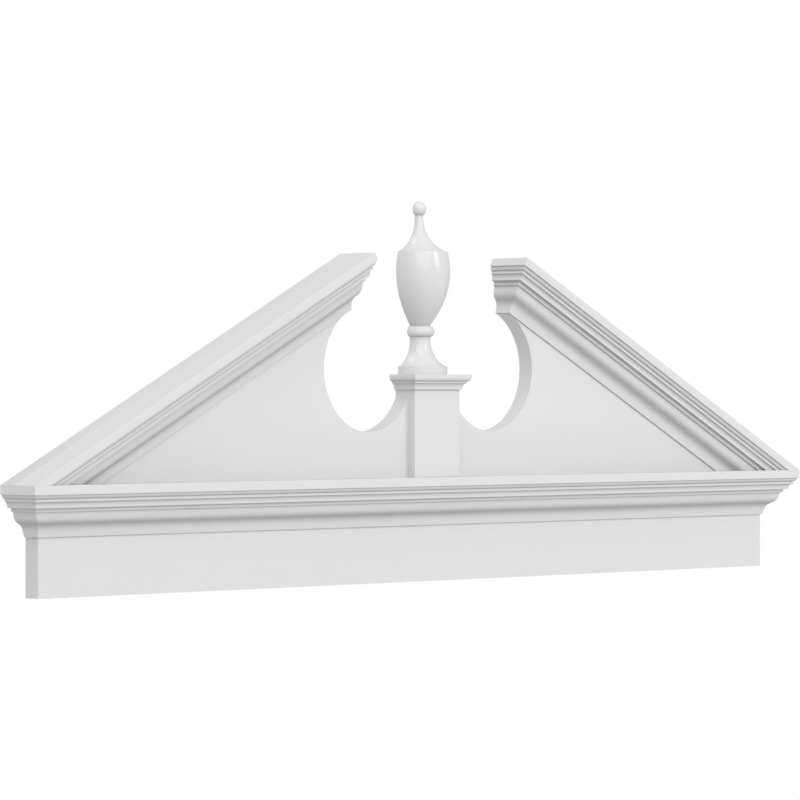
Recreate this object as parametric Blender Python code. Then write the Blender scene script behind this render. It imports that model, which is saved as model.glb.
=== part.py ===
"""A broken pediment with an urn finial, cut and glued up from white cellular PVC.

It is fixed flat to a wall, over a door or a window. The origin is on the wall face, at
the middle of the frieze's back. X runs along the wall, -Y points out towards the street
and +Z is up. Every size is in metres.
"""

import math

import bmesh
import bpy
from mathutils import Vector

# The sheet that everything is glued to: the frieze below, the tympanum above
BOARD_THICKNESS = 0.0254
FRIEZE_WIDTH = 1.524
FRIEZE_HEIGHT = 0.0816

# The crown moulding, the same on the cornice and on both rakes
CROWN_HEIGHT = 0.0701
CROWN_PROJECTION = 0.04445
FASCIA_HEIGHT = 0.0122
DRIP_STEP = 0.0028
OVOLO_HEIGHT = 0.0058
OVOLO_WIDTH = 0.0041
UPPER_FILLET_STEP = 0.0004
UPPER_FILLET_HEIGHT = 0.0041
COVE_STEP = 0.0009
COVE_HEIGHT = 0.0084
COVE_WIDTH = 0.0043
LOWER_FILLET_STEP = 0.0061
LOWER_FILLET_HEIGHT = 0.0051
CYMA_STEP = 0.0034
FOOT_STEP = 0.0026

# The two rakes and the gap between them
RAKE_SLOPE = 0.5
GAP_WIDTH = 0.3236
CUSP_BELOW_CAP = 0.011

# The pedestal in the gap and its moulded cap
PEDESTAL_WIDTH = 0.095
PEDESTAL_HEIGHT = 0.1264
PEDESTAL_PROUD = 0.0135
CAP_PROJECTION = 0.0128
CAP_SLAB_HEIGHT = 0.0032
CAP_OVOLO_HEIGHT = 0.0068
CAP_OVOLO_WIDTH = 0.0041
CAP_FILLET_STEP = 0.0008
CAP_FILLET_HEIGHT = 0.0030
CAP_COVE_STEP = 0.0010
CAP_COVE_HEIGHT = 0.0083
CAP_COVE_WIDTH = 0.0038
CAP_FOOT_HEIGHT = 0.0008

# The urn finial, turned round a vertical axis and sawn flat at the back
FINIAL_AXIS_TO_WALL = 0.0012
BASE_RADIUS = 0.0421
BASE_HEIGHT = 0.0118
BASE_STEP = 0.0015
FOOT_HEIGHT = 0.0367
NECK_RADIUS = 0.0174
NECK_HEIGHT = 0.0064
COLLAR_BULGE = 0.0059
COLLAR_HEIGHT = 0.0158
URN_FOOT_RADIUS = 0.0165
BELLY_RADIUS = 0.0463
BELLY_HEIGHT = 0.0798
SHOULDER_HEIGHT = 0.0290
SHOULDER_STEP = 0.0022
LID_HEIGHT = 0.0527
STEM_RADIUS = 0.0067
BALL_RADIUS = 0.0115

# Handles of the S-curve and of the two hollow sweeps, as shares of their width and height
CYMA_HANDLES = ((0.105, 0.615), (0.811, 0.326))
FOOT_HANDLES = ((0.617, 0.164), (1.0, 0.622))
LID_HANDLES = ((0.370, 0.110), (1.0, 0.356))

# The glue line left between two pieces that touch
SEAT_GAP = 0.0003

# How finely the curves are divided
QUARTER_STEPS = 6
SWEEP_STEPS = 14
CUT_OUT_STEPS = 40
TURN_STEPS = 48
SMOOTH_ANGLE = math.radians(32)

# Places worked out from the sizes above
FRIEZE_BOTTOM = -FRIEZE_HEIGHT / 2
CORNICE_TOP = FRIEZE_HEIGHT / 2 + CROWN_HEIGHT
CROWN_DEPTH = BOARD_THICKNESS + CROWN_PROJECTION
CORNICE_HALF_WIDTH = FRIEZE_WIDTH / 2 + CROWN_PROJECTION
CROWN_BACK_INSET = CROWN_PROJECTION - SEAT_GAP
STANDING_LEVEL = CORNICE_TOP + SEAT_GAP
RAKE_ANGLE = math.atan(RAKE_SLOPE)
PEDESTAL_TOP = STANDING_LEVEL + PEDESTAL_HEIGHT
CAP_BOTTOM = PEDESTAL_TOP + SEAT_GAP
CAP_HEIGHT = (CAP_SLAB_HEIGHT + CAP_OVOLO_HEIGHT + CAP_FILLET_HEIGHT
              + CAP_COVE_HEIGHT + CAP_FOOT_HEIGHT)
FINIAL_BOTTOM = CAP_BOTTOM + CAP_HEIGHT + SEAT_GAP

# Along a rake, seen from the front and on the right-hand side
DOWN_RAKE = Vector((math.cos(RAKE_ANGLE), 0, -math.sin(RAKE_ANGLE)))
RAKE_NORMAL = Vector((math.sin(RAKE_ANGLE), 0, math.cos(RAKE_ANGLE)))
GAP_CORNER = Vector((GAP_WIDTH / 2, 0,
                     CORNICE_TOP + RAKE_SLOPE * (CORNICE_HALF_WIDTH - GAP_WIDTH / 2)))


# Moulding members: each one carries a path of (inset, drop) points on from its last point

def drop(path, height):
    """A plain vertical face."""
    inset, depth = path[-1]
    path.append((inset, depth + height))


def step_in(path, width):
    """A level face that turns inwards."""
    inset, depth = path[-1]
    path.append((inset + width, depth))


def ovolo(path, width, height):
    """A quarter ellipse that bulges: it starts upright and ends level."""
    inset, depth = path[-1]
    for step in range(1, QUARTER_STEPS + 1):
        turn = math.pi / 2 * step / QUARTER_STEPS
        path.append((inset + width * (1 - math.cos(turn)), depth + height * math.sin(turn)))


def cove(path, width, height):
    """A quarter ellipse that is hollow: it starts level and ends upright."""
    inset, depth = path[-1]
    for step in range(1, QUARTER_STEPS + 1):
        turn = math.pi / 2 * step / QUARTER_STEPS
        path.append((inset + width * math.sin(turn), depth + height * (1 - math.cos(turn))))


def sweep(path, width, height, handles):
    """A cubic curve over width and height, with its two handles as shares of them."""
    inset, depth = path[-1]
    corners = ((0, 0), handles[0], handles[1], (1, 1))
    for step in range(1, SWEEP_STEPS + 1):
        along = step / SWEEP_STEPS
        back = 1 - along
        weights = (back ** 3, 3 * back ** 2 * along, 3 * back * along ** 2, along ** 3)
        across = sum(weight * corner[0] for weight, corner in zip(weights, corners))
        down = sum(weight * corner[1] for weight, corner in zip(weights, corners))
        path.append((inset + width * across, depth + height * down))


def crown_profile():
    """The crown's face from its top front edge to its foot, then up its flat back."""
    path = [(0.0, 0.0)]
    drop(path, FASCIA_HEIGHT)
    step_in(path, DRIP_STEP)
    ovolo(path, OVOLO_WIDTH, OVOLO_HEIGHT)
    step_in(path, UPPER_FILLET_STEP)
    drop(path, UPPER_FILLET_HEIGHT)
    step_in(path, COVE_STEP)
    cove(path, COVE_WIDTH, COVE_HEIGHT)
    step_in(path, LOWER_FILLET_STEP)
    drop(path, LOWER_FILLET_HEIGHT)
    step_in(path, CYMA_STEP)
    inset, depth = path[-1]
    sweep(path, CROWN_PROJECTION - FOOT_STEP - inset, CROWN_HEIGHT - depth, CYMA_HANDLES)
    path.append((CROWN_BACK_INSET, CROWN_HEIGHT))
    path.append((CROWN_BACK_INSET, 0.0))
    return path


def cap_profile():
    """The cap's edge from its top down, with the inset counted from its top edge."""
    path = [(0.0, 0.0)]
    drop(path, CAP_SLAB_HEIGHT)
    ovolo(path, CAP_OVOLO_WIDTH, CAP_OVOLO_HEIGHT)
    step_in(path, CAP_FILLET_STEP)
    drop(path, CAP_FILLET_HEIGHT)
    step_in(path, CAP_COVE_STEP)
    cove(path, CAP_COVE_WIDTH, CAP_COVE_HEIGHT)
    drop(path, CAP_FOOT_HEIGHT)
    return path


def finial_profile():
    """The finial's (radius, height) points from its base to the top of its ball."""
    points = [(0.0, 0.0), (BASE_RADIUS, 0.0), (BASE_RADIUS, BASE_HEIGHT)]
    neck_foot = BASE_HEIGHT + FOOT_HEIGHT
    foot = [(BASE_RADIUS - BASE_STEP, BASE_HEIGHT)]
    sweep(foot, NECK_RADIUS - BASE_RADIUS + BASE_STEP, FOOT_HEIGHT, FOOT_HANDLES)
    points += foot

    collar_foot = neck_foot + NECK_HEIGHT
    collar_steps = 2 * QUARTER_STEPS
    for step in range(collar_steps + 1):
        turn = math.pi * step / collar_steps
        points.append((NECK_RADIUS + COLLAR_BULGE * math.sin(turn),
                       collar_foot + COLLAR_HEIGHT / 2 * (1 - math.cos(turn))))

    urn_foot = collar_foot + COLLAR_HEIGHT
    belly = urn_foot + BELLY_HEIGHT
    narrowing = (BELLY_RADIUS - URN_FOOT_RADIUS) / BELLY_HEIGHT ** 2
    urn_height = BELLY_HEIGHT + SHOULDER_HEIGHT
    for step in range(SWEEP_STEPS + 1):
        height = urn_foot + urn_height * step / SWEEP_STEPS
        points.append((BELLY_RADIUS - narrowing * (height - belly) ** 2, height))

    lid = [(points[-1][0] - SHOULDER_STEP, urn_foot + urn_height)]
    sweep(lid, STEM_RADIUS - lid[0][0], LID_HEIGHT, LID_HANDLES)
    points += lid

    stem_turn = math.asin(STEM_RADIUS / BALL_RADIUS)
    ball_centre = lid[-1][1] + BALL_RADIUS * math.cos(stem_turn)
    ball_steps = 3 * QUARTER_STEPS
    for step in range(1, ball_steps + 1):
        turn = stem_turn + (math.pi - stem_turn) * step / ball_steps
        points.append((BALL_RADIUS * math.sin(turn),
                       ball_centre - BALL_RADIUS * math.cos(turn)))
    points[-1] = (0.0, ball_centre + BALL_RADIUS)
    return points


# Ways to build a solid

def white_pvc(name, roughness):
    """A satin white material for one piece."""
    material = bpy.data.materials.new(name)
    material.use_nodes = True
    shader = material.node_tree.nodes["Principled BSDF"]
    shader.inputs["Base Color"].default_value = (0.84, 0.84, 0.84, 1)
    shader.inputs["Roughness"].default_value = roughness
    shader.inputs["Metallic"].default_value = 0
    return material


def add_piece(name, mesh_builder, parent, roughness=0.42):
    """Store a built bmesh as a named object with its own material."""
    bmesh.ops.recalc_face_normals(mesh_builder, faces=mesh_builder.faces)
    mesh = bpy.data.meshes.new(name)
    mesh_builder.to_mesh(mesh)
    mesh_builder.free()
    mesh.shade_smooth()
    mesh.set_sharp_from_angle(angle=SMOOTH_ANGLE)
    mesh.materials.append(white_pvc(name + "_pvc", roughness))
    piece = bpy.data.objects.new(name, mesh)
    piece.parent = parent
    bpy.context.collection.objects.link(piece)
    return piece


def loft(rings):
    """Join rings of as many points each in turn, and close both ends."""
    mesh_builder = bmesh.new()
    loops = [[mesh_builder.verts.new(point) for point in ring] for ring in rings]
    count = len(loops[0])
    for near, far in zip(loops, loops[1:]):
        for index in range(count):
            after = (index + 1) % count
            mesh_builder.faces.new((near[index], near[after], far[after], far[index]))
    mesh_builder.faces.new(loops[0])
    mesh_builder.faces.new(loops[-1])
    return mesh_builder


def mirrored(point, side):
    """The same place on the right (side 1) or on the left (side -1)."""
    return Vector((side * point.x, point.y, point.z))


# The pieces

def cut_out_circle():
    """Centre and radius of the right-hand cut-out.

    The circle leaves the foot of the crown's return along the rake's own direction and
    passes through the cusp, the point where the tympanum touches the pedestal.
    """
    foot = GAP_CORNER + CROWN_PROJECTION * DOWN_RAKE - CROWN_HEIGHT * RAKE_NORMAL
    cusp = Vector((PEDESTAL_WIDTH / 2 + SEAT_GAP, 0, PEDESTAL_TOP - CUSP_BELOW_CAP))
    chord = foot - cusp
    radius = chord.length_squared / (2 * chord.dot(RAKE_NORMAL))
    return foot - radius * RAKE_NORMAL, radius, cusp


def board_outline():
    """The sheet's right half, from the frieze's underside round to the pedestal's notch."""
    frieze_end = FRIEZE_WIDTH / 2
    tip = CORNICE_HALF_WIDTH - SEAT_GAP / RAKE_SLOPE
    board_end = GAP_CORNER + CROWN_PROJECTION * DOWN_RAKE
    centre, radius, cusp = cut_out_circle()
    start_turn = math.pi / 2 - RAKE_ANGLE
    end_turn = math.atan2(cusp.z - centre.z, cusp.x - centre.x)
    outline = [Vector((frieze_end, 0, FRIEZE_BOTTOM)),
               Vector((frieze_end, 0, STANDING_LEVEL)),
               Vector((tip, 0, STANDING_LEVEL)),
               board_end]
    for step in range(CUT_OUT_STEPS + 1):
        turn = start_turn + (end_turn - start_turn) * step / CUT_OUT_STEPS
        outline.append(centre + radius * Vector((math.cos(turn), 0, math.sin(turn))))
    outline.append(Vector((cusp.x, 0, CORNICE_TOP)))
    return outline


def make_backboard(parent):
    """One flat sheet: frieze, tympanum, the two cut-outs and the pedestal's notch."""
    right = board_outline()
    left = [mirrored(point, -1) for point in reversed(right)]
    mesh_builder = bmesh.new()
    back = mesh_builder.faces.new([mesh_builder.verts.new(point) for point in right + left])
    grown = bmesh.ops.extrude_face_region(mesh_builder, geom=[back])
    front = [item for item in grown["geom"] if isinstance(item, bmesh.types.BMVert)]
    bmesh.ops.translate(mesh_builder, verts=front, vec=(0, -BOARD_THICKNESS, 0))
    return add_piece("backboard", mesh_builder, parent)


def make_cornice_crown(parent):
    """The level crown along the front, mitred back to the wall at both ends."""
    profile = crown_profile()

    def ring(side, reaches_wall):
        return [Vector((side * (CORNICE_HALF_WIDTH - inset),
                        0 if reaches_wall else inset - CROWN_DEPTH,
                        CORNICE_TOP - depth)) for inset, depth in profile]

    rings = [ring(-1, True), ring(-1, False), ring(1, False), ring(1, True)]
    return add_piece("cornice_crown", loft(rings), parent)


def make_rake_crown(name, side, parent):
    """One sloping crown: cut level on the cornice below, mitred back to the wall above."""
    profile = crown_profile()
    tip = Vector((CORNICE_HALF_WIDTH, 0, CORNICE_TOP))
    lower, mitre, wall = [], [], []
    for inset, depth in profile:
        outwards = Vector((0, inset - CROWN_DEPTH, 0))
        up_rake = (SEAT_GAP + depth * math.cos(RAKE_ANGLE)) / math.sin(RAKE_ANGLE)
        lower.append(mirrored(tip - up_rake * DOWN_RAKE - depth * RAKE_NORMAL + outwards, side))
        turn = GAP_CORNER + inset * DOWN_RAKE - depth * RAKE_NORMAL
        mitre.append(mirrored(turn + outwards, side))
        wall.append(mirrored(turn, side))
    return add_piece(name, loft([lower, mitre, wall]), parent)


def upright_ring(half_width, depth, level):
    """A level rectangle against the wall, as four points."""
    return [Vector((-half_width, 0, level)), Vector((-half_width, -depth, level)),
            Vector((half_width, -depth, level)), Vector((half_width, 0, level))]


def make_pedestal(parent):
    """The square block that stands on the cornice, in the tympanum's notch."""
    depth = BOARD_THICKNESS + PEDESTAL_PROUD
    rings = [upright_ring(PEDESTAL_WIDTH / 2, depth, STANDING_LEVEL),
             upright_ring(PEDESTAL_WIDTH / 2, depth, PEDESTAL_TOP)]
    return add_piece("pedestal", loft(rings), parent)


def make_pedestal_cap(parent):
    """The cap, moulded on its front and both sides and flat on top and at the wall."""
    half_width = PEDESTAL_WIDTH / 2 + CAP_PROJECTION
    depth = BOARD_THICKNESS + PEDESTAL_PROUD + CAP_PROJECTION
    rings = [upright_ring(half_width - inset, depth - inset, CAP_BOTTOM + CAP_HEIGHT - fall)
             for inset, fall in cap_profile()]
    return add_piece("pedestal_cap", loft(rings), parent)


def make_finial(parent):
    """The finial, spun whole round its axis and then sawn off flat at the wall."""
    mesh_builder = bmesh.new()
    rim = [mesh_builder.verts.new((radius, 0, height)) for radius, height in finial_profile()]
    lines = [mesh_builder.edges.new(pair) for pair in zip(rim, rim[1:])]
    bmesh.ops.spin(mesh_builder, geom=rim + lines, cent=(0, 0, 0), axis=(0, 0, 1),
                   angle=2 * math.pi, steps=TURN_STEPS, use_merge=True)
    bmesh.ops.remove_doubles(mesh_builder, verts=mesh_builder.verts, dist=1e-6)
    whole = list(mesh_builder.verts) + list(mesh_builder.edges) + list(mesh_builder.faces)
    sawn = bmesh.ops.bisect_plane(mesh_builder, geom=whole, dist=1e-7, clear_outer=True,
                                  plane_co=(0, FINIAL_AXIS_TO_WALL, 0), plane_no=(0, 1, 0))
    saw_line = [item for item in sawn["geom_cut"] if isinstance(item, bmesh.types.BMEdge)]
    bmesh.ops.contextual_create(mesh_builder, geom=saw_line)
    finial = add_piece("finial", mesh_builder, parent, roughness=0.30)
    finial.location = (0, -FINIAL_AXIS_TO_WALL, FINIAL_BOTTOM)
    return finial


def main():
    """Clear the scene and model the pediment under one empty at the wall mount."""
    for leftover in list(bpy.data.objects):
        bpy.data.objects.remove(leftover)
    pediment = bpy.data.objects.new("pediment", None)
    bpy.context.collection.objects.link(pediment)
    make_backboard(pediment)
    make_cornice_crown(pediment)
    make_rake_crown("rake_crown_right", 1, pediment)
    make_rake_crown("rake_crown_left", -1, pediment)
    make_pedestal(pediment)
    make_pedestal_cap(pediment)
    make_finial(pediment)


main()
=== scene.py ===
"""A broken pediment with an urn finial, in white cellular PVC, and the studio it is shown in.

Each piece is a moulded profile carried along a mitred path, or turned round an axis, and worked
out with numpy. X runs along the wall, -Y points out towards the street and +Z is up, in metres.
"""

import math

import bmesh
import bpy
import numpy as np
from bpy.props import FloatProperty, FloatVectorProperty, PointerProperty
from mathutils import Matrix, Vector


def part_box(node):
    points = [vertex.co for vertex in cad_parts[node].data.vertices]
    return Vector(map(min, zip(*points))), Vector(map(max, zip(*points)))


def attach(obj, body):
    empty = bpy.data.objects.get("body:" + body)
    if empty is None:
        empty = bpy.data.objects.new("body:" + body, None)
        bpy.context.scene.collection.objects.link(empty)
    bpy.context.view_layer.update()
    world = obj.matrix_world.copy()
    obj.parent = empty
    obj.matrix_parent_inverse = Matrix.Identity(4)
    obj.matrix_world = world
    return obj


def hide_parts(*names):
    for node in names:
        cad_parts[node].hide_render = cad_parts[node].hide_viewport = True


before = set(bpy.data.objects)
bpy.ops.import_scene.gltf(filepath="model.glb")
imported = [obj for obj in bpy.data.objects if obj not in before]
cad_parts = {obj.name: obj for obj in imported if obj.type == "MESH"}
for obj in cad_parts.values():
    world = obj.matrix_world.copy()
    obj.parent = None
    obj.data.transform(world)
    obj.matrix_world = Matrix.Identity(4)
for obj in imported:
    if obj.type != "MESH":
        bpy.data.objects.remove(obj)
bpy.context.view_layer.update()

bl_info = {
    "name": "PVC Pediment",
    "version": (1, 0, 0),
    "blender": (4, 5, 0),
    "location": "View3D > Sidebar > Pediment",
    "description": "Builds a broken pediment of white cellular PVC with an urn finial",
    "category": "Add Mesh",
}

# Places read from the frame
BOARD_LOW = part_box("backboard")[0]
CORNICE_LOW, CORNICE_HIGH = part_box("cornice_crown")
RAKE_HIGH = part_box("rake_crown_right")[1]
PEDESTAL_LOW, PEDESTAL_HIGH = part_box("pedestal")
CAP_LOW, CAP_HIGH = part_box("pedestal_cap")
FINIAL_LOW, FINIAL_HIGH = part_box("finial")

BOARD_THICKNESS = -BOARD_LOW.y
CORNICE_TOP = CORNICE_HIGH.z
CORNICE_HALF_WIDTH = CORNICE_HIGH.x
CROWN_HEIGHT = CORNICE_TOP - CORNICE_LOW.z
CROWN_DEPTH = -CORNICE_LOW.y
CROWN_PROJECTION = CROWN_DEPTH - BOARD_THICKNESS
FRIEZE_HALF_WIDTH = CORNICE_HALF_WIDTH - CROWN_PROJECTION
GAP_CORNER_HEIGHT = RAKE_HIGH.z
CAP_PROJECTION = CAP_HIGH.x - PEDESTAL_HIGH.x
FINIAL_AXIS_TO_WALL = -FINIAL_LOW.y - FINIAL_HIGH.x

# How the pieces meet and how finely they are drawn
JOINT = 0.00003
ARRIS_REACH = 0.00045
MITRE_REACH = 0.0005
SAWN_REACH = 0.0004
EASE_STEPS = 5
CURVE_STEPS = 12
SWEEP_STEPS = 30
CUT_OUT_STEPS = 120
TURN_STEPS = 96
PROFILE_SPACING = 0.0016
STATION_SPACING = 0.06
STATION_GRADES = (0.0012, 0.003, 0.007, 0.016)
SHARP_TURN = math.radians(12)
SMOOTH_ANGLE = math.radians(32)
ARRIS_WIDTH = 0.0011
# Painted shade: how far it reaches out of an inner corner, and the share it has there
CREASE_SHADE_WIDTH = 0.0015
CORNER_SHARE = 0.2
MERGE_DISTANCE = 1e-7
TINY = 1e-6
PLACE_DIGITS = 6
MOST_OF_A_SIDE = 0.45

# Shapes of the curved members
CYMA_TURN = 0.47
CYMA_LEANS = (0.16, 1.25)
CYMA_POWER = 4
FOOT_HANDLES = ((0.617, 0.164), (1.0, 0.622))
LID_HANDLES = ((0.370, 0.110), (1.0, 0.356))

# The white PVC, the same for every piece
PVC_IOR = 1.5
BUMP_STRENGTH, BUMP_DEPTH = 0.25, 0.0001
DULL_CLOUD = 0.985
GLOSS_SPREAD = 0.06
PEEL_UNDER_LINES, LINE_HEIGHT = 0.4, 0.8
MOULDING_LINES, TURNING_LINES = 900.0, 1300.0
PORE_RIM, PATCH_RIM = (0.12, 0.38), (0.3, 0.7)
STROKE_DRAW = Vector((1.0, 0.02, 1.0))
PORE_DARKENING, PORE_HEIGHT, SAWN_ROUGHNESS = 0.5, 2.0, 0.72
# Painted shade in creases and under faces: how evenly it lies, how often noise breaks it, and how
# much rougher it makes the surface
SHADE_EVENNESS, SHADE_BREAKS, WEAR_BREAKS = 0.85, 45.0, 110.0
ROUGHER_WITH_SHADE, SMOOTHER_WITH_WEAR = 0.3, 0.3

# The studio: a light's azimuth counts from the front, towards the right
KEY_AZIMUTH, KEY_ELEVATION = math.radians(-28), math.radians(33)
TOP_AZIMUTH, TOP_ELEVATION = math.radians(-135), math.radians(65)
BOX_AZIMUTH, BOX_ELEVATION = math.radians(26), math.radians(20)
FLOOR_RIM_WHITE = (0.95, 0.95, 0.95, 1.0)
FLOOR_FADE = (0.2, 0.9)
FLOOR_ROUGHNESS = 0.9
SENSOR_WIDTH = 36
CAMERA_SHIFT = -0.01079
FARTHEST_SEEN = 100


def length_setting(name, default, description):
    """A size in metres that a user can change."""
    return FloatProperty(name=name, description=description, default=default, min=0.0,
                         precision=5, unit="LENGTH", subtype="DISTANCE")


def share_setting(name, default, description):
    """A share from nought to one that a user can change."""
    return FloatProperty(name=name, description=description, default=default,
                         min=0.0, max=1.0, subtype="FACTOR")


def strength_setting(name, default, description):
    """A light's strength that a user can change."""
    return FloatProperty(name=name, description=description, default=default, min=0.0)


def colour_setting(name, default, description):
    """A linear colour that a user can change."""
    return FloatVectorProperty(name=name, description=description, default=default,
                               min=0.0, max=1.0, size=3, subtype="COLOR")


class PedimentCrownSizes(bpy.types.PropertyGroup):
    """Members of the crown moulding, from its top edge down."""

    fascia_height: length_setting("Fascia height", 0.0127, "Plain band at the crown's top")
    drip_step: length_setting("Drip step", 0.0028, "Level step under the fascia")
    ovolo_height: length_setting("Ovolo height", 0.0053, "Height of the bulging quarter round")
    ovolo_width: length_setting("Ovolo width", 0.0041, "Width of the bulging quarter round")
    upper_fillet_step: length_setting("Upper fillet step", 0.0004, "Step in to the upper fillet")
    upper_fillet_height: length_setting("Upper fillet height", 0.0041, "Narrow upright band")
    cove_step: length_setting("Cove step", 0.0009, "Step in to the cove")
    cove_height: length_setting("Cove height", 0.0084, "Height of the hollow quarter round")
    cove_width: length_setting("Cove width", 0.0043, "Width of the hollow quarter round")
    lower_fillet_step: length_setting("Lower fillet step", 0.0061, "Step in to the lower fillet")
    lower_fillet_height: length_setting("Lower fillet height", 0.0051, "Narrow upright band")
    cyma_step: length_setting("Cyma step", 0.0034, "Step in to the S-curve")
    foot_step: length_setting("Foot step", 0.0026, "Level foot under the S-curve")


class PedimentCapSizes(bpy.types.PropertyGroup):
    """Members of the pedestal's cap, from its top edge down."""

    slab_height: length_setting("Slab height", 0.0032, "Plain band at the cap's top")
    ovolo_height: length_setting("Ovolo height", 0.0068, "Height of the bulging quarter round")
    ovolo_width: length_setting("Ovolo width", 0.0041, "Width of the bulging quarter round")
    fillet_step: length_setting("Fillet step", 0.0008, "Step in to the fillet")
    fillet_height: length_setting("Fillet height", 0.0030, "Narrow upright band")
    cove_step: length_setting("Cove step", 0.0010, "Step in to the cove")
    cove_height: length_setting("Cove height", 0.0083, "Height of the hollow quarter round")
    cove_width: length_setting("Cove width", 0.0038, "Width of the hollow quarter round")


class PedimentBoardSizes(bpy.types.PropertyGroup):
    """The rakes' slope and where the cut-outs end."""

    rake_slope: FloatProperty(name="Rake slope", description="Rise of a rake over its run",
                              default=0.5, min=0.1, max=2.0)
    cusp_below_cap: length_setting("Cusp below cap", 0.011,
                                   "How far below the cap the sheet meets the pedestal")


class PedimentFinialSizes(bpy.types.PropertyGroup):
    """Members of the urn finial, from its base up."""

    base_radius: length_setting("Base radius", 0.0421, "Radius of the base disc")
    base_height: length_setting("Base height", 0.0118, "Height of the base disc")
    base_step: length_setting("Base step", 0.0015, "Level step on top of the base disc")
    foot_height: length_setting("Foot height", 0.0367, "Height of the hollow foot")
    neck_radius: length_setting("Neck radius", 0.0174, "Radius of the neck over the foot")
    neck_height: length_setting("Neck height", 0.0064, "Height of the plain neck")
    collar_bulge: length_setting("Collar bulge", 0.0059, "How far the collar stands out")
    collar_height: length_setting("Collar height", 0.0158, "Height of the half-round collar")
    urn_foot_radius: length_setting("Urn foot radius", 0.0165, "Radius at the urn's foot")
    belly_radius: length_setting("Belly radius", 0.0463, "Widest radius of the urn")
    belly_height: length_setting("Belly height", 0.0798, "From the urn's foot to its belly")
    shoulder_height: length_setting("Shoulder height", 0.0290, "From the belly to the lid")
    shoulder_step: length_setting("Shoulder step", 0.0022, "Level step in to the lid")
    lid_height: length_setting("Lid height", 0.0527, "Height of the hollow lid")
    stem_radius: length_setting("Stem radius", 0.0067, "Radius of the stem under the ball")
    ball_radius: length_setting("Ball radius", 0.0115, "Radius of the ball")


class PedimentFinish(bpy.types.PropertyGroup):
    """Colours and surface of the white PVC."""

    pvc_white: colour_setting("PVC white", (0.68, 0.68, 0.68), "Colour of clean PVC")
    sawn_white: colour_setting("Sawn white", (0.66, 0.66, 0.66), "Colour of sawn, porous PVC")
    # Painted shade: the grey that creases and faces turned down are mixed towards; open cells of
    # sawn edges are darkened towards it too
    shade_grey: colour_setting("Dust grey", (0.34, 0.34, 0.337), "Colour of settled dust")
    sheet_roughness: share_setting("Sheet roughness", 0.46, "Roughness of the flat sheet")
    moulding_roughness: share_setting("Moulding roughness", 0.42, "Roughness of the mouldings")
    turned_roughness: share_setting("Turned roughness", 0.18, "Roughness of the finial")
    # Painted shade: how far creases and faces turned down are mixed towards that grey
    painted_shade: share_setting("Dust", 0.8, "How much dust has settled in the recesses")
    # Painted shade on the sheet just above the cornice's ledge, and how far up it fades out
    ledge_shade: share_setting("Ledge dust", 0.15, "How much dust the sheet has over the cornice")
    ledge_shade_reach: length_setting("Ledge dust reach", 0.11, "How far up that dust fades out")
    wear: share_setting("Wear", 0.08, "How far the arrises are polished")


class PedimentStudio(bpy.types.PropertyGroup):
    """Camera, light and floor."""

    camera_distance: length_setting("Camera distance", 6.31358, "From the camera to the origin")
    camera_azimuth: FloatProperty(name="Camera azimuth", default=-0.812964, subtype="ANGLE",
                                  description="Direction to the camera, from the front")
    camera_height: length_setting("Camera height", 0.235359, "Height of the camera")
    camera_turn: FloatProperty(name="Camera turn", default=-0.8088, subtype="ANGLE",
                               description="Direction that the camera looks in")
    focal_length: FloatProperty(name="Focal length", default=194.36, min=1.0,
                                description="Focal length in millimetres, on a 36 mm sensor")
    floor_drop: length_setting("Floor drop", 2.1, "From the origin down to the floor")
    floor_radius: length_setting("Floor radius", 14.0, "Radius of the round floor")
    floor_grey: colour_setting("Floor grey", (0.57, 0.57, 0.57), "Colour of the floor's middle")
    ambient: strength_setting("Surround", 0.64, "Strength of the even white light all round")
    key: strength_setting("Key", 1.33, "Strength of the soft light from the front")
    key_softness: FloatProperty(name="Key softness", default=math.radians(60),
                                subtype="ANGLE", description="How wide the key light looks")
    top: strength_setting("Top", 0.51, "Strength of the light from behind on the left")
    top_softness: FloatProperty(name="Top softness", default=math.radians(35),
                                subtype="ANGLE", description="How wide the top light looks")
    box: FloatProperty(name="Box power", default=175.0, min=0.0,
                       description="Power of the tall soft box that makes the highlights")
    box_width: length_setting("Box width", 2.5, "Width of the tall soft box")
    box_height: length_setting("Box height", 4.4, "Height of the tall soft box")
    box_distance: length_setting("Box distance", 10.0, "From the finial to the tall soft box")


# Moulding members: each gives (inset, drop) offsets from the last member's end

def flat(width, height):
    """A straight line to one point, level or upright."""
    return np.array([[width, height]])


def ovolo(width, height):
    """A bulging quarter ellipse: inset w(1 - cos t) and drop h sin t, for t from 0 to 90 degrees."""
    turn = np.linspace(0, math.pi / 2, CURVE_STEPS + 1)[1:]
    return np.column_stack((width * (1 - np.cos(turn)), height * np.sin(turn)))


def cove(width, height):
    """A hollow quarter ellipse: inset w sin t and drop h(1 - cos t), for t from 0 to 90 degrees."""
    turn = np.linspace(0, math.pi / 2, CURVE_STEPS + 1)[1:]
    return np.column_stack((width * np.sin(turn), height * (1 - np.cos(turn))))


def sweep(width, height, handles):
    """A cubic Bezier curve over width and height, its two handles being shares of them."""
    share = np.linspace(0, 1, SWEEP_STEPS + 1)[1:, None]
    corners = np.array(((0, 0), *handles, (1, 1)))
    curve = (3 * share * (1 - share) ** 2 * corners[1] + 3 * share ** 2 * (1 - share) * corners[2]
             + share ** 3 * corners[3])
    return curve * (width, height)


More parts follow.
